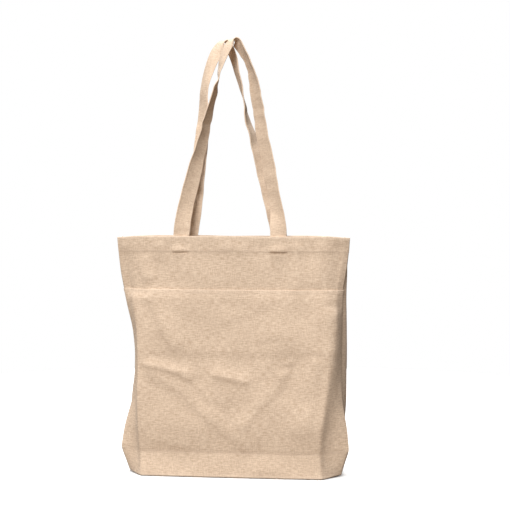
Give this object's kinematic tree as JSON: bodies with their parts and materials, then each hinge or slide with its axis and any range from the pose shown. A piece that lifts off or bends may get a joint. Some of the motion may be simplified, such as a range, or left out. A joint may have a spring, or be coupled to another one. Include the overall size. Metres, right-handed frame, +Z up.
{
  "type": "canvas tote bag",
  "caption": "Open-topped natural canvas tote bag with a boxed bottom, a full-width front pocket and tall webbing handles that swing.",
  "frame": {"origin": "on the ground, under the middle of the base", "axes": "+X to the right as the pocket is faced, +Y to the back, +Z up to the handles"},
  "size_m": [0.382, 0.068, 0.7076],
  "materials": {
    "canvas": "plain weave, unbleached, matte",
    "pocket_canvas": "plain weave, unbleached, matte",
    "webbing": "folded and stitched canvas strap, matte",
    "seam_edge": "raw overlocked edge, matte",
    "thread": "twisted cotton thread"
  },
  "bodies": {
    "bag": {"front_panel": "canvas", "back_panel": "canvas", "front_handle_ends": "webbing", "back_handle_ends": "webbing", "left_side_seam": "seam_edge", "right_side_seam": "seam_edge", "bottom_seam": "seam_edge", "front_hem_stitching": "thread", "back_hem_stitching": "thread", "pocket_bottom_stitching": "thread", "front_left_tack": "thread", "front_right_tack": "thread", "back_left_tack": "thread", "back_right_tack": "thread"},
    "pocket": {"front_pocket": "pocket_canvas", "pocket_hem_stitching": "thread"},
    "front_loop": {"front_handle": "webbing"},
    "back_loop": {"back_handle": "webbing"}
  },
  "joints": [
    {"name": "front_handle_swing", "type": "hinge", "parent": "bag", "child": "front_loop", "pos_m": [0, -0.0166, 0.402], "axis": [1, 0, 0], "range_deg": [0, 155]},
    {"name": "back_handle_swing", "type": "hinge", "parent": "bag", "child": "back_loop", "pos_m": [0, 0.0166, 0.402], "axis": [-1, 0, 0], "range_deg": [0, 155]},
    {"name": "pocket_mouth", "type": "hinge", "parent": "bag", "child": "pocket", "pos_m": [0, -0.0285, 0.044], "axis": [1, 0, 0], "range_deg": [0, 5]}
  ]
}
